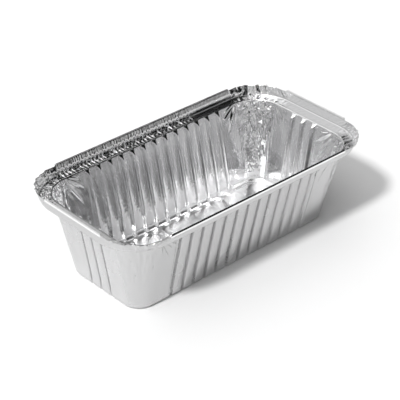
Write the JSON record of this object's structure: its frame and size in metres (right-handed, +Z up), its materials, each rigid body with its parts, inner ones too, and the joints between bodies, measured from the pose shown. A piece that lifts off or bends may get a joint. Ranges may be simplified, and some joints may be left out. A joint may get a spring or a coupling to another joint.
{
  "type": "foil tray",
  "caption": "Oblong loaf tray pressed from thin foil, with tapered fluted walls, gathered corners, a flat ledge round the mouth and a low hemmed upstand.",
  "frame": {"origin": "centre of the tray's footprint, at the level of its floor's underside", "axes": "+X along the tray, +Z up out of its mouth"},
  "size_m": [0.2094, 0.112, 0.0646],
  "materials": {
    "foil": "bright rolled foil, finely wrinkled where it is gathered"
  },
  "bodies": {
    "root": {"tray": "foil"}
  },
  "joints": []
}
